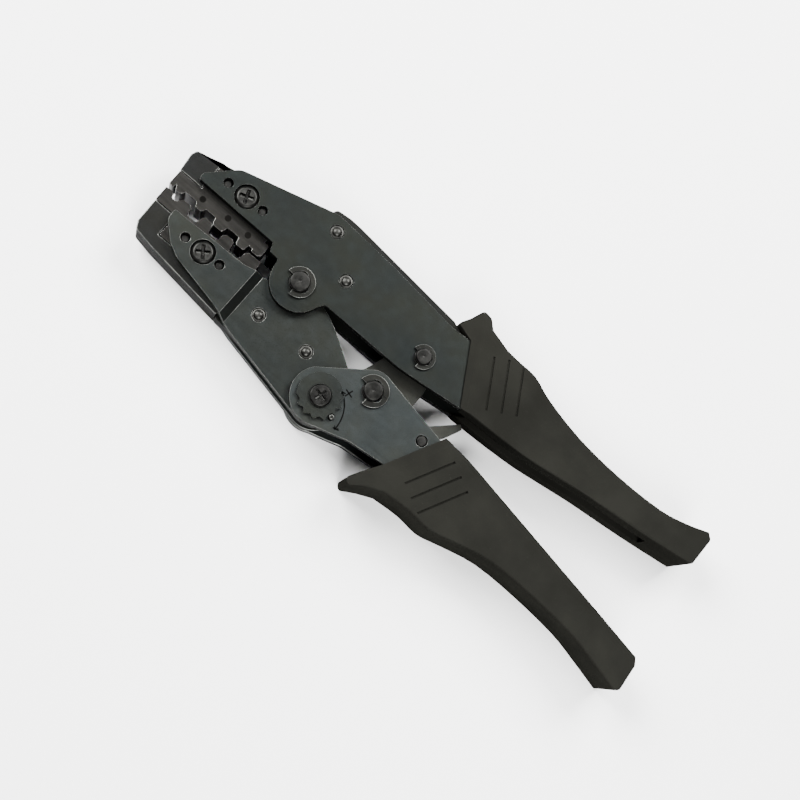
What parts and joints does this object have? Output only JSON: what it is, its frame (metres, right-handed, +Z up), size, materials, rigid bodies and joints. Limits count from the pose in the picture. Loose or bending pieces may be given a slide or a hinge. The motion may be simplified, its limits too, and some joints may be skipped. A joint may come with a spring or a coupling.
{
  "type": "ratchet crimping plier",
  "caption": "Ratchet crimping plier with exchangeable nest dies, toggle link and plastic grips, for crimping terminals onto wires.",
  "frame": {"origin": "on the surface the plier lies on, under the middle of its bounding box", "axes": "+X from the nose to the grips, +Y towards the fixed handle, +Z up through the front plates"},
  "size_m": [0.2274, 0.077, 0.0228],
  "materials": {
    "plate_steel": "black oxide, satin",
    "core_steel": "black oxide, matte",
    "die_steel": "ground, lightly blackened",
    "pin_steel": "turned, satin",
    "spring_steel": "bright drawn wire",
    "grip_plastic": "fine matte"
  },
  "bodies": {
    "frame": {"front_frame_plate": "plate_steel", "rear_frame_plate": "plate_steel", "frame_spine": "core_steel", "upper_nose_block": "core_steel", "upper_die": "die_steel", "upper_die_screw": "pin_steel", "upper_die_dowel_1": "pin_steel", "upper_die_dowel_2": "pin_steel", "frame_rivet_1": "pin_steel", "frame_rivet_2": "pin_steel", "main_pivot_pin": "pin_steel", "main_pivot_ring": "pin_steel", "link_pin": "pin_steel", "link_pin_ring": "pin_steel", "return_spring": "spring_steel", "fixed_grip": "grip_plastic"},
    "moving_jaw": {"front_jaw_plate": "plate_steel", "rear_jaw_plate": "plate_steel", "lower_nose_block": "core_steel", "jaw_core": "core_steel", "lower_die": "die_steel", "lower_die_screw": "pin_steel", "lower_die_dowel_1": "pin_steel", "lower_die_dowel_2": "pin_steel", "jaw_rivet_1": "pin_steel", "jaw_rivet_2": "pin_steel"},
    "moving_handle": {"front_handle_plate": "plate_steel", "rear_handle_plate": "plate_steel", "handle_core": "core_steel", "adjuster_pin": "pin_steel", "adjuster_disc": "plate_steel", "adjuster_screw": "pin_steel", "adjuster_lock_pin": "pin_steel", "handle_pin": "pin_steel", "handle_pin_ring": "pin_steel", "pawl_pin": "pin_steel", "pawl_spring": "spring_steel", "moving_grip": "grip_plastic"},
    "toggle_link": {"toggle_link": "core_steel"},
    "ratchet_pawl": {"ratchet_pawl": "core_steel"}
  },
  "joints": [
    {"name": "handle_pivot", "type": "hinge", "parent": "moving_jaw", "child": "moving_handle", "pos_m": [-0.02734, -0.02185, 0.011], "axis": [0, 0, 1], "range_deg": [-24, 4]},
    {"name": "jaw_pivot", "type": "hinge", "parent": "frame", "child": "moving_jaw", "pos_m": [-0.05733, 0.00355, 0.011], "axis": [0, 0, 1], "range_deg": [-0.8, 4.8]},
    {"name": "link_pivot", "type": "hinge", "parent": "frame", "child": "toggle_link", "pos_m": [-0.00903, 0.01185, 0.011], "axis": [0, 0, 1], "range_deg": [-2.8, 16.8]},
    {"name": "pawl_pivot", "type": "hinge", "parent": "moving_handle", "child": "ratchet_pawl", "pos_m": [0.00877, -0.01075, 0.011], "axis": [0, 0, 1], "range_deg": [-6, 0], "stiffness_Nm_per_rad": 0.05, "springref_deg": 8.59}
  ],
  "couplings": [
    {"joint": "jaw_pivot", "follows": "handle_pivot", "ratio": -0.2},
    {"joint": "link_pivot", "follows": "handle_pivot", "ratio": -0.7}
  ]
}
